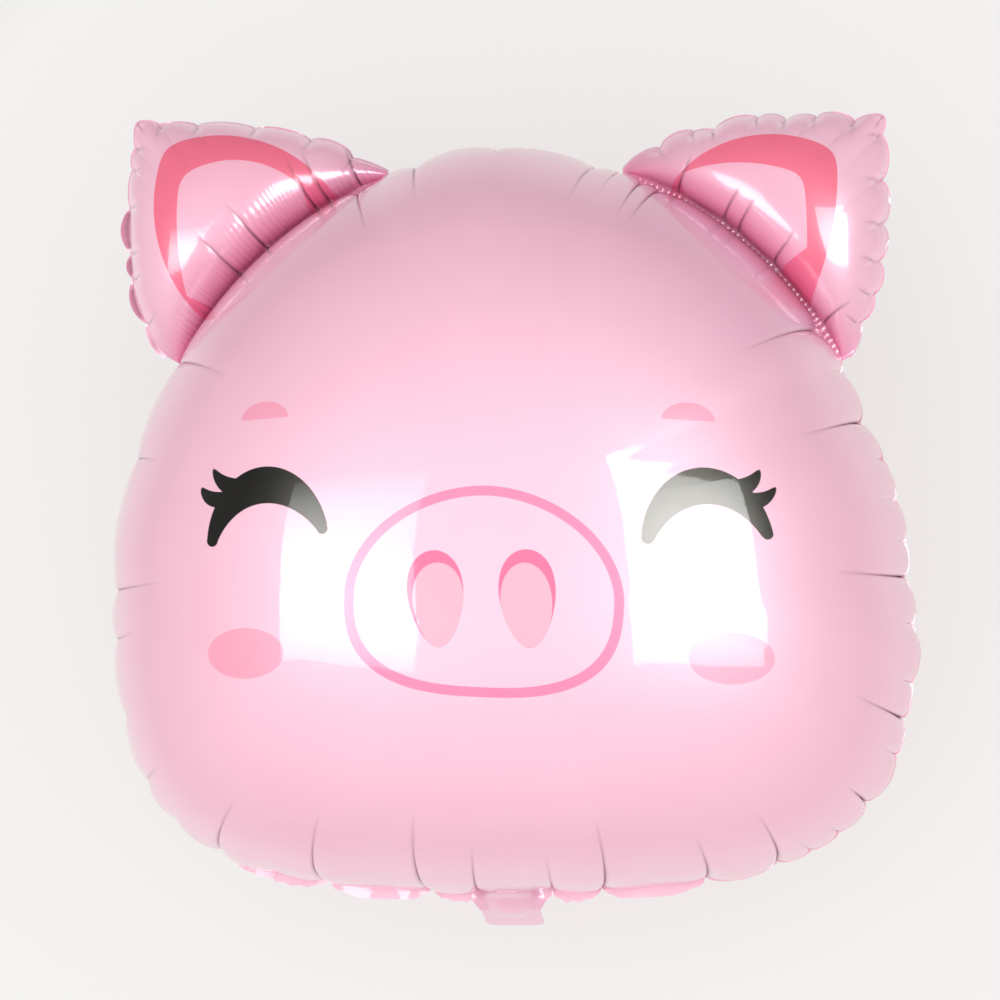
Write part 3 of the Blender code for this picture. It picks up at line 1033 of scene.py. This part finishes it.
    def build_sheet(self, side: Side, name: str) -> bpy.types.Object:
        """Makes one sheet of film, ready to be dressed.

        Args:
            side: the front or the back sheet.
            name: the piece's name.

        Returns:
            The sheet's object.
        """
        shell = Shell(side, self.seam)
        self.add_head(shell)
        for ear in self.ears:
            self.add_ear(shell, ear)
        self.add_neck(shell)
        return shell.build(name)


class Term:
    """A number that a material or a light works out at every point of a surface."""

    def __init__(self, tree: bpy.types.NodeTree, socket: bpy.types.NodeSocket) -> None:
        """Wraps a socket of a tree."""
        self.tree = tree
        self.socket = socket

    def math(self, operation: str, *others: "Term | float", clamp: bool = False) -> "Term":
        """Adds one arithmetic node.

        Args:
            operation: the node's operation.
            others: what the node takes besides this number.
            clamp: keeps the result between 0 and 1.

        Returns:
            The node's result.
        """
        node = self.tree.nodes.new("ShaderNodeMath")
        node.operation = operation
        node.use_clamp = clamp
        for slot, value in zip(node.inputs, (self, *others)):
            if isinstance(value, Term):
                self.tree.links.new(value.socket, slot)
            else:
                slot.default_value = value
        return Term(self.tree, node.outputs[0])

    def __add__(self, other: "Term | float") -> "Term":
        """Adds."""
        return self.math("ADD", other)

    def __sub__(self, other: "Term | float") -> "Term":
        """Takes away."""
        return self.math("SUBTRACT", other)

    def __mul__(self, other: "Term | float") -> "Term":
        """Multiplies."""
        return self.math("MULTIPLY", other)

    def __neg__(self) -> "Term":
        """Changes the sign."""
        return self.math("MULTIPLY", -1.0)

    def both(self, other: "Term", blend: float = 0.0) -> "Term":
        """Gives the overlap of two shapes, with its corners rounded by a blend."""
        return self.math("SMOOTH_MAX", other, blend) if blend else self.math("MAXIMUM", other)

    def either(self, other: "Term", blend: float = 0.0) -> "Term":
        """Gives two shapes joined into one, with a fillet of a blend between them."""
        return self.math("SMOOTH_MIN", other, blend) if blend else self.math("MINIMUM", other)

    def ink(self, edge: float) -> "Term":
        """Turns a shape's signed distance into its cover, from 0 outside to 1 inside."""
        return (self * (-1.0 / edge)).math("ADD", 0.5, clamp=True)


class Plan:
    """The film's surface as its print is drawn on it: seen from the front, in millimetres."""

    def __init__(self, tree: bpy.types.NodeTree) -> None:
        """Reads the surface's own coordinates."""
        self.tree = tree
        source = tree.nodes.new("ShaderNodeTexCoord")
        self.metres = source.outputs["Object"]
        apart = tree.nodes.new("ShaderNodeSeparateXYZ")
        tree.links.new(self.metres, apart.inputs[0])
        self.x, self.y = (Term(tree, apart.outputs[name]) * (1 / MM) for name in ("X", "Y"))

    def disc(self, x: float, y: float, radius: float) -> Term:
        """Gives the signed distance to a circle's edge, below 0 inside it."""
        return self.oval(x, y, radius, radius)

    def oval(self, x: float, y: float, across: float, up: float, egg: float = 0, roll: float = 0) -> Term:
        """Gives the signed distance, near enough, to the edge of an oval.

        Args:
            x: its middle's place across.
            y: its middle's place up.
            across: half its width.
            up: half its height.
            egg: how much wider it is towards its top, as a share.
            roll: how far it is turned, in degrees against the clock.

        Returns:
            The distance, below 0 inside.
        """
        flat = self.turned(x, y, roll)
        if egg:
            wide = (flat[1] * (egg / up) + 1.0) * across
            first = flat[0].math("DIVIDE", wide)
        else:
            first = flat[0] * (1 / across)
        second = flat[1] * (1 / up)
        reach = (first * first + second * second).math("SQRT")
        return (reach - 1.0) * min(across, up)

    def turned(self, x: float, y: float, roll: float) -> tuple[Term, Term]:
        """Gives the place relative to a middle, in axes turned by a roll in degrees."""
        off_x, off_y = self.x - x, self.y - y
        if not roll:
            return off_x, off_y
        cosine, sine = math.cos(math.radians(roll)), math.sin(math.radians(roll))
        return off_x * cosine + off_y * sine, off_y * cosine - off_x * sine

    def beyond(self, x: float, y: float, heading: float) -> Term:
        """Gives the distance past a straight line through a point, towards a heading in degrees."""
        off_x, off_y = self.x - x, self.y - y
        return off_x * math.sin(math.radians(heading)) + off_y * math.cos(math.radians(heading))


@dataclass(frozen=True)
class Ring:
    """The printed line round the snout: flatter below than above."""

    x: float = 5.7
    y: float = -43.3
    across: float = 94.0
    up: float = 75.0
    down: float = 65.5
    upper_power: float = 1.89
    lower_power: float = 2.7
    band: float = 6.6
    roll: float = -3.1

    def shape(self, plan: Plan) -> Term:
        """Gives the signed distance to the ring's band."""
        outer = self.loop(plan, 0)
        inner = self.loop(plan, self.band)
        return outer.both(-inner)

    def loop(self, plan: Plan, inset: float) -> Term:
        """Gives the signed distance to the ring's outer line, or one drawn inside it."""
        flat_x, flat_y = plan.turned(self.x, self.y, self.roll)
        below = flat_y.math("LESS_THAN", 0.0)
        upper, lower = self.up - inset, self.down - inset
        tall = below * (lower - upper) + upper
        power = below * (self.lower_power - self.upper_power) + self.upper_power
        first = (flat_x.math("ABSOLUTE") * (1 / (self.across - inset))).math("POWER", power)
        second = flat_y.math("ABSOLUTE").math("DIVIDE", tall).math("POWER", power)
        reach = (first + second).math("POWER", power.math("POWER", -1.0))
        return (reach - 1.0) * min(self.across, lower)


@dataclass(frozen=True)
class Nostril:
    """A printed nostril: a dark egg with a lighter egg set lower in it."""

    dark: tuple[float, float, float, float, float, float]
    light: tuple[float, float, float, float, float, float]


@dataclass(frozen=True)
class Lash:
    """A lash, between two circles given as x, y and radius."""

    below: tuple[float, float, float]
    above: tuple[float, float, float]


@dataclass(frozen=True)
class Eye:
    """A closed, smiling eye: an arch between two ovals, with rounded ends, and two lashes.

    An end is a place, the radius of its round and the heading out of the arch in degrees.
    """

    arch: tuple[float, float, float, float, float, float]
    hollow: tuple[float, float, float, float, float, float]
    ends: tuple[tuple[float, float, float, float], ...]
    lashes: tuple[Lash, ...]
    tip_round: float = 5.0

    def shape(self, plan: Plan) -> Term:
        """Gives the signed distance to the eye's outline."""
        body = plan.oval(*self.arch).both(-plan.oval(*self.hollow))
        for x, y, _, heading in self.ends:
            body = body.both(plan.beyond(x, y, heading))
        for x, y, radius, _ in self.ends:
            body = body.either(plan.disc(x, y, radius))
        for lash in self.lashes:
            horn = plan.disc(*lash.below).both(-plan.disc(*lash.above), self.tip_round)
            body = body.either(horn)
        return body


@dataclass(frozen=True)
class EarPrint:
    """The print on an ear: a deep pink patch with a lighter one in it, down to the root.

    Its lines are circles given as x, y and radius. The lighter patch's lower lines are straight,
    given as x, y and the heading out of it in degrees. X grows away from the head's middle.
    """

    top: tuple[float, float, float]
    side: tuple[float, float, float]
    inner_top: tuple[float, float, float]
    inner_side: tuple[float, float, float]
    inner_low: tuple[float, float, float]
    inner_end: tuple[float, float, float]
    corner: float = 14.0


RIGHT_EAR_PRINT = EarPrint(
    top=(187.3, 191.3, 89.7),
    side=(51.0, 249.3, 184.0),
    inner_top=(162.0, 133.0, 128.0),
    inner_side=(-86.0, 214.0, 300.0),
    inner_low=(200.0, 192.0, 147.0),
    inner_end=(126.0, 250.0, 271.0),
)
LEFT_EAR_PRINT = EarPrint(
    top=(202.6, 188.4, 102.5),
    side=(120.2, 244.5, 125.6),
    inner_top=(188.8, 202.5, 69.0),
    inner_side=(-72.0, 232.0, 300.0),
    inner_low=(226.4, 178.9, 154.5),
    inner_end=(139.0, 244.0, 280.0),
)


@dataclass(frozen=True)
class Face:
    """Everything that is printed on the front sheet."""

    ring: Ring = Ring()
    nostrils: tuple[Nostril, ...] = (
        Nostril((-26.0, -43.1, 18.6, 32.3, 0.20, 4.0), (-24.6, -47.4, 16.8, 28.2, 0.20, 0.5)),
        Nostril((35.6, -43.7, 18.7, 32.7, 0.20, 2.7), (35.0, -48.1, 17.1, 28.2, 0.10, 5.0)),
    )
    cheeks: tuple[tuple[float, ...], ...] = ((-159.3, -77.7, 27.8, 17.0), (168.9, -84.2, 27.8, 17.0))
    eyes: tuple[Eye, ...] = (
        Eye(
            arch=(-142.5, -5.9, 44.4, 53.7, 0.0, 3.1),
            hollow=(-137.9, -35.4, 46.0, 58.8, 0.0, 13.0),
            ends=((-182.8, -1.2, 4.1, 200.0), (-103.4, 5.0, 3.9, 143.0)),
            lashes=(
                Lash((-163.9, 47.8, 19.8), (-162.3, 69.4, 29.0)),
                Lash((-179.3, 34.4, 13.1), (-177.6, 55.4, 23.6)),
            ),
        ),
        Eye(
            arch=(154.4, -12.1, 43.5, 55.2, 0.0, 7.8),
            hollow=(156.5, -39.4, 43.8, 57.5, 0.0, 4.6),
            ends=((192.9, -1.3, 3.7, 150.0), (115.5, -3.9, 4.5, 200.0)),
            lashes=(
                Lash((172.9, 38.7, 15.7), (169.5, 58.6, 23.7)),
                Lash((182.2, 31.2, 16.5), (184.7, 45.9, 19.6)),
            ),
        ),
    )
    brows: tuple[tuple[float, float, float, float, float], ...] = (
        (-145.6, 80.4, 17.2, 11.8, 2.5),
        (141.4, 74.6, 17.2, 12.0, -3.0),
    )
    brow_round: float = 2.0

    def brow(self, plan: Plan, x: float, y: float, across: float, up: float, roll: float) -> Term:
        """Gives the signed distance to a brow, a low dome with a straight underside."""
        _, over = plan.turned(x, y, roll)
        return plan.oval(x, y, across, up, roll=roll).both(-over, self.brow_round)


@dataclass(frozen=True)
class Pinks:
    """The inks and the painted shade colours, as linear red, green and blue."""

    film: tuple[float, float, float] = (0.94, 0.545, 0.67)
    back: tuple[float, float, float] = (0.90, 0.36, 0.50)
    blush: tuple[float, float, float] = (0.94, 0.36, 0.49)
    line: tuple[float, float, float] = (0.94, 0.215, 0.39)
    nostril: tuple[float, float, float] = (0.95, 0.13, 0.29)
    nostril_light: tuple[float, float, float] = (0.95, 0.40, 0.505)
    ear: tuple[float, float, float] = (0.93, 0.17, 0.27)
    ear_light: tuple[float, float, float] = (0.94, 0.47, 0.60)
    charcoal: tuple[float, float, float] = (0.074, 0.072, 0.063)
    # Painted shade in folds and creases.
    fold: tuple[float, float, float] = (0.16, 0.05, 0.08)
    # Painted shade and painted reflection of the ears, on the head beside their roots.
    nook: tuple[float, float, float] = (0.66, 0.27, 0.46)
    # Painted shade and painted reflection of the head, on each ear along its root and its root band.
    root: tuple[float, float, float] = (0.93, 0.17, 0.42)


@dataclass(frozen=True)
class FilmFinish:
    """Metallised film under a pearly print and a clear gloss, with shade painted into its folds and beside
    the ear roots.
    """

    pinks: Pinks = Pinks()
    face: Face = Face()
    metallic: float = 0.08
    roughness: float = 0.44
    ior: float = 1.8
    specular_level: float = 0.34
    ink_roughness: float = 0.30
    coat: float = 1.0
    coat_roughness: float = 0.03
    coat_ior: float = 1.55
    edge: float = 0.45
    # How strongly painted shade covers folds, the head beside the ear roots, and the ears along them.
    fold_shade: float = 0.92
    nook_shade: float = 0.75
    root_shade: float = 0.62
    ear_metallic: float = 0.05
    ear_roughness: float = 0.30
    mottle: float = 0.10
    mottle_size: float = 0.018
    cloud_size: float = 0.09
    cloud_contrast: float = 1.6
    cloud_tint: tuple[float, float, float] = (0.99, 0.95, 0.965)
    grain_size: float = 0.004
    dent_size: float = 0.03
    grain_share: float = 0.3
    bump_strength: float = 0.25
    bump_height: float = 0.0002

    def material(self, name: str, side: Side, ears: Sequence[Ear]) -> bpy.types.Material:
        """Makes the film's material.

        Args:
            name: the material's name.
            side: the front sheet is printed and the back one is plain.
            ears: the ears, each with a print of its own on the front sheet.

        Returns:
            The new material.
        """
        material = bpy.data.materials.new(name)
        material.use_nodes = True
        tree = material.node_tree
        shader = tree.nodes["Principled BSDF"]
        shader.inputs["IOR"].default_value = self.ior
        shader.inputs["Specular IOR Level"].default_value = self.specular_level
        shader.inputs["Coat Roughness"].default_value = self.coat_roughness
        shader.inputs["Coat IOR"].default_value = self.coat_ior
        plan = Plan(tree)
        colour = self.pearl(plan, self.pinks.film if side is Side.FRONT else self.pinks.back)
        covered = None
        if side is Side.FRONT:
            colour = self.ear_prints(plan, colour, ears)
            colour, covered = self.face_print(plan, colour)
        fold, ear, nook = (self.trait(tree, name) for name in ("fold", "ear", "nook"))
        # Painted shade and painted reflection beside the ear roots, then painted shade in the folds, where
        # the coat is thinned too.
        on_head = (ear * -1.0).math("ADD", 1.0)
        colour = self.mix(tree, nook * on_head * self.nook_shade, colour, self.pinks.nook)
        colour = self.mix(tree, nook * ear * self.root_shade, colour, self.pinks.root)
        colour = self.mix(tree, fold * self.fold_shade, colour, self.pinks.fold)
        gloss = (fold * (-self.fold_shade)).math("ADD", self.coat)
        tree.links.new(gloss.socket, shader.inputs["Coat Weight"])
        tree.links.new(colour, shader.inputs["Base Color"])
        mottle = Term(tree, self.noise(plan, self.mottle_size, 2.0)) * self.mottle
        bare = mottle + (self.roughness - self.mottle / 2)
        metal = ear * (self.ear_metallic - self.metallic) + self.metallic
        bare = bare + ear * (self.ear_roughness - self.roughness)
        if covered is not None:
            metal = metal.math("MAXIMUM", covered)
            bare = bare + covered * (self.ink_roughness - self.roughness)
        tree.links.new(metal.socket, shader.inputs["Metallic"])
        tree.links.new(bare.socket, shader.inputs["Roughness"])
        self.grain(plan, shader)
        return material

    def trait(self, tree: bpy.types.NodeTree, name: str) -> Term:
        """Reads one of the sheet's traits."""
        node = tree.nodes.new("ShaderNodeAttribute")
        node.attribute_name = name
        return Term(tree, node.outputs["Fac"])

    def noise(self, plan: Plan, size: float, detail: float) -> bpy.types.NodeSocket:
        """Adds soft noise whose features have a size in metres."""
        node = plan.tree.nodes.new("ShaderNodeTexNoise")
        node.inputs["Scale"].default_value = 1 / size
        node.inputs["Detail"].default_value = detail
        plan.tree.links.new(plan.metres, node.inputs["Vector"])
        return node.outputs["Fac"]

    def mix(
        self,
        tree: bpy.types.NodeTree,
        cover: Term,
        under: bpy.types.NodeSocket | Sequence[float],
        over: Sequence[float],
    ) -> bpy.types.NodeSocket:
        """Lays an ink over a colour.

        Args:
            tree: the material's tree.
            cover: how far the ink covers the colour, from 0 to 1.
            under: the colour, as a socket or as red, green and blue.
            over: the ink's red, green and blue.

        Returns:
            The colour with the ink on it.
        """
        node = tree.nodes.new("ShaderNodeMix")
        node.data_type = "RGBA"
        tree.links.new(cover.socket, node.inputs["Factor"])
        if isinstance(under, bpy.types.NodeSocket):
            tree.links.new(under, node.inputs["A"])
        else:
            node.inputs["A"].default_value = (*under, 1)
        node.inputs["B"].default_value = (*over, 1)
        return node.outputs["Result"]

    def pearl(self, plan: Plan, pink: Sequence[float]) -> bpy.types.NodeSocket:
        """Gives the plain film's colour, with the slight clouding of a pearly ink."""
        cloud = Term(plan.tree, self.noise(plan, self.cloud_size, 3.0)) * self.cloud_contrast
        cloud = cloud + (1 - self.cloud_contrast) / 2
        shade = [value * share for value, share in zip(pink, self.cloud_tint)]
        return self.mix(plan.tree, cloud.math("ADD", 0.0, clamp=True), pink, shade)

    def ear_prints(
        self, plan: Plan, colour: bpy.types.NodeSocket, ears: Sequence[Ear]
    ) -> bpy.types.NodeSocket:
        """Lays the ears' prints over the film.

        Args:
            plan: the surface's plan.
            colour: the film's colour so far.
            ears: the ear on the right and the one on the left.

        Returns:
            The colour with the prints on it.
        """
        tree = plan.tree
        on_ear = self.trait(tree, "ear")
        for ear, art in zip(ears, (RIGHT_EAR_PRINT, LEFT_EAR_PRINT)):
            hand = ear.hand.value
            mirrored = Plan(tree)
            mirrored.x = plan.x * hand
            outer = mirrored.disc(*art.top).both(mirrored.disc(*art.side), art.corner)
            inner = mirrored.disc(*art.inner_top).both(mirrored.disc(*art.inner_side), art.corner)
            inner = inner.both(mirrored.beyond(*art.inner_low)).both(mirrored.beyond(*art.inner_end))
            inner = inner.both(outer)
            colour = self.mix(tree, outer.ink(self.edge) * on_ear, colour, self.pinks.ear)
            colour = self.mix(tree, inner.ink(self.edge) * on_ear, colour, self.pinks.ear_light)
        return colour

    def face_print(
        self, plan: Plan, colour: bpy.types.NodeSocket
    ) -> tuple[bpy.types.NodeSocket, Term]:
        """Lays the face over the film.

        Args:
            plan: the surface's plan.
            colour: the film's colour so far.

        Returns:
            The colour with the face on it, and how far opaque ink covers the metal.
        """
        tree, face = plan.tree, self.face
        ring = face.ring.shape(plan)
        colour = self.mix(tree, ring.ink(self.edge), colour, self.pinks.line)
        for nostril in face.nostrils:
            dark, light = plan.oval(*nostril.dark), plan.oval(*nostril.light)
            colour = self.mix(tree, dark.ink(self.edge), colour, self.pinks.nostril)
            colour = self.mix(tree, light.both(dark).ink(self.edge), colour, self.pinks.nostril_light)
        for cheek in face.cheeks:
            colour = self.mix(tree, plan.oval(*cheek).ink(self.edge), colour, self.pinks.blush)
        for brow in face.brows:
            colour = self.mix(tree, face.brow(plan, *brow).ink(self.edge), colour, self.pinks.blush)
        covers = [eye.shape(plan).ink(self.edge) for eye in face.eyes]
        dark = covers[0].math("MAXIMUM", covers[1])
        return self.mix(tree, dark, colour, self.pinks.charcoal), dark

    def grain(self, plan: Plan, shader: bpy.types.ShaderNode) -> None:
        """Adds the film's faint unevenness as bump."""
        tree = plan.tree
        fine = Term(tree, self.noise(plan, self.grain_size, 2.0)) * self.grain_share
        height = fine + Term(tree, self.noise(plan, self.dent_size, 1.0))
        bump = tree.nodes.new("ShaderNodeBump")
        bump.inputs["Strength"].default_value = self.bump_strength
        bump.inputs["Distance"].default_value = self.bump_height
        tree.links.new(height.socket, bump.inputs["Height"])
        tree.links.new(bump.outputs["Normal"], shader.inputs["Normal"])
        tree.links.new(bump.outputs["Normal"], shader.inputs["Coat Normal"])


@dataclass(frozen=True)
class Softbox:
    """A flat light: a veil lights evenly, and any other shows only as its image in the film.

    Falloff is how fast it gets weaker from its brightest line, which is at a share of its height.
    """

    name: str
    place: tuple[float, float, float]
    aim: tuple[float, float, float]
    width: float
    height: float
    roll: float
    power: float
    falloff: float = 0.0
    brightest: float = 0.5
    veil: bool = False

    def build(self) -> bpy.types.Object:
        """Makes the light."""
        lamp = bpy.data.lights.new(self.name, "AREA")
        lamp.shape = "RECTANGLE"
        lamp.size, lamp.size_y = self.width, self.height
        lamp.energy = self.power
        thing = bpy.data.objects.new(self.name, lamp)
        bpy.context.scene.collection.objects.link(thing)
        away = (Vector(self.place) - Vector(self.aim)).normalized()
        across = Vector((0, 1, 0)).cross(away).normalized()
        turn = Matrix((across, away.cross(across), away)).transposed().to_4x4()
        spin = Matrix.Rotation(math.radians(self.roll), 4, "Z")
        thing.matrix_world = Matrix.Translation(self.place) @ turn @ spin
        thing.visible_camera = False
        thing.visible_glossy = not self.veil
        thing.visible_diffuse = self.veil
        if self.falloff:
            self.shade(lamp)
        return thing

    def shade(self, lamp: bpy.types.Light) -> None:
        """Makes the light weaker away from its brightest line."""
        lamp.use_nodes = True
        tree = lamp.node_tree
        place = tree.nodes.new("ShaderNodeNewGeometry")
        apart = tree.nodes.new("ShaderNodeSeparateXYZ")
        tree.links.new(place.outputs["Parametric"], apart.inputs[0])
        off = Term(tree, apart.outputs["Y"]) - self.brightest
        glow = off * off * -self.falloff + 1.0
        tree.links.new(glow.socket, tree.nodes["Emission"].inputs["Strength"])


@dataclass(frozen=True)
class Studio:
    """The pale floor, the light and the camera, which looks down on the balloon.

    The camera's yaw, pitch and roll are in degrees, and its focal length is a share of the sensor.
    """

    target: tuple[float, float, float] = (0, 0, 0.16)
    distance: float = 3.2
    yaw: float = 8.0
    pitch: float = 3.0
    roll: float = -0.31
    focal_share: float = 4.577
    shift: tuple[float, float] = (-0.0075, 0.0456)
    sensor: float = 36.0
    softboxes: tuple[Softbox, ...] = (
        Softbox("left_softbox", (-0.975, -0.09, 2.27), (0, 0, 0.3), 1.02, 0.983, -7.5, 20.5, 3.0, 0.45),
        Softbox("right_softbox", (1.106, 0.001, 2.202), (0, 0, 0.3), 1.525, 1.226, 5.3, 49.0, 2.0, 0.55),
        Softbox("overhead_veil", (0.0, -2.0, 2.6), (0, -2.0, 0.2), 20.0, 10.0, 0.0, 815.0, veil=True),
    )
    floor_size: float = 14.0
    floor_colour: tuple[float, float, float] = (0.24, 0.238, 0.234)
    floor_glow: float = 2.61
    floor_reach: tuple[float, float] = (0.55, 1.7)
    floor_roughness: float = 0.9
    sky_high: tuple[float, float, float] = (0.10, 0.095, 0.10)
    sky_low: tuple[float, float, float] = (0.32, 0.315, 0.315)
    sky_rise: float = 1.5
    sky_crown: float = 0.7

    def build(self) -> None:
        """Makes everything of the studio."""
        self.build_floor()
        self.build_sky()
        for softbox in self.softboxes:
            softbox.build()
        self.build_camera()
        bpy.context.scene.view_settings.view_transform = "Standard"

    def build_floor(self) -> None:
        """Makes the floor, a pale sheet whose glow fades with distance, as a lit studio sweep's does."""
        half = self.floor_size / 2
        mesh = bpy.data.meshes.new("floor")
        corners = [(-half, -half, 0), (half, -half, 0), (half, half, 0), (-half, half, 0)]
        mesh.from_pydata(corners, [], [(0, 1, 2, 3)])
        floor = bpy.data.objects.new("floor", mesh)
        bpy.context.scene.collection.objects.link(floor)
        material = bpy.data.materials.new("pale_floor")
        material.use_nodes = True
        shader = material.node_tree.nodes["Principled BSDF"]
        shader.inputs["Base Color"].default_value = (*self.floor_colour, 1)
        shader.inputs["Roughness"].default_value = self.floor_roughness
        shader.inputs["Specular IOR Level"].default_value = 0.0
        shader.inputs["Emission Color"].default_value = (*self.floor_colour, 1)
        tree = material.node_tree
        source = tree.nodes.new("ShaderNodeTexCoord")
        reach = tree.nodes.new("ShaderNodeVectorMath")
        reach.operation = "LENGTH"
        tree.links.new(source.outputs["Object"], reach.inputs[0])
        near, far = self.floor_reach
        fall = Term(tree, reach.outputs["Value"]) * (-1 / (far - near))
        fall = fall.math("ADD", far / (far - near), clamp=True)
        glow = fall * fall * self.floor_glow
        tree.links.new(glow.socket, shader.inputs["Emission Strength"])
        mesh.materials.append(material)

    def build_sky(self) -> None:
        """Makes the room's light: dim overhead, and brighter low down, except beyond the crown."""
        world = bpy.data.worlds.new("studio")
        world.use_nodes = True
        tree = world.node_tree
        source = tree.nodes.new("ShaderNodeTexCoord")
        apart = tree.nodes.new("ShaderNodeSeparateXYZ")
        tree.links.new(source.outputs["Generated"], apart.inputs[0])
        high = Term(tree, apart.outputs["Z"]).math("MULTIPLY", self.sky_rise, clamp=True)
        crown = Term(tree, apart.outputs["Y"]).math("MULTIPLY", self.sky_crown, clamp=True)
        share = high.math("MAXIMUM", crown)
        mix = tree.nodes.new("ShaderNodeMix")
        mix.data_type = "RGBA"
        tree.links.new(share.socket, mix.inputs["Factor"])
        mix.inputs["A"].default_value = (*self.sky_low, 1)
        mix.inputs["B"].default_value = (*self.sky_high, 1)
        tree.links.new(mix.outputs["Result"], tree.nodes["Background"].inputs["Color"])
        bpy.context.scene.world = world

    def build_camera(self) -> None:
        """Makes the camera."""
        yaw, pitch, roll = (math.radians(angle) for angle in (self.yaw, self.pitch, self.roll))
        away = Vector((math.sin(yaw) * math.cos(pitch), -math.sin(pitch), math.cos(yaw) * math.cos(pitch)))
        across = Vector((0, 1, 0)).cross(away).normalized()
        turn = Matrix((across, away.cross(across), away)).transposed().to_4x4()
        lens = bpy.data.cameras.new("camera")
        lens.sensor_width = self.sensor
        lens.lens = self.sensor * self.focal_share
        lens.shift_x, lens.shift_y = self.shift
        camera = bpy.data.objects.new("camera", lens)
        bpy.context.scene.collection.objects.link(camera)
        place = Vector(self.target) + away * self.distance
        camera.matrix_world = Matrix.Translation(place) @ turn @ Matrix.Rotation(roll, 4, "Z")
        bpy.context.scene.camera = camera


def dress(piece: bpy.types.Object, node: str, material: bpy.types.Material) -> None:
    """Gives a piece its material, puts it under the root body and hides the solid that it replaces.

    Args:
        piece: the piece.
        node: the solid that it replaces.
        material: its material.
    """
    piece.data.materials.append(material)
    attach(piece, "root")
    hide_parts(node)
    LOG.info("%s: %d faces", piece.name, len(piece.data.polygons))


def main() -> None:
    """Builds the balloon and the studio."""
    logging.basicConfig(level=logging.INFO, format="%(name)s: %(message)s")
    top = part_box("front_foil")[1].z
    film = Film()
    balloon = Balloon(top - Head(film).rise - film.thickness, film)
    finish = FilmFinish()
    for side, node in ((Side.FRONT, "front_foil"), (Side.BACK, "back_foil")):
        name = node.replace("foil", "film")
        piece = balloon.build_sheet(side, name)
        dress(piece, node, finish.material(name, side, balloon.ears))
    Studio().build()


if __name__ == "__main__":
    main()
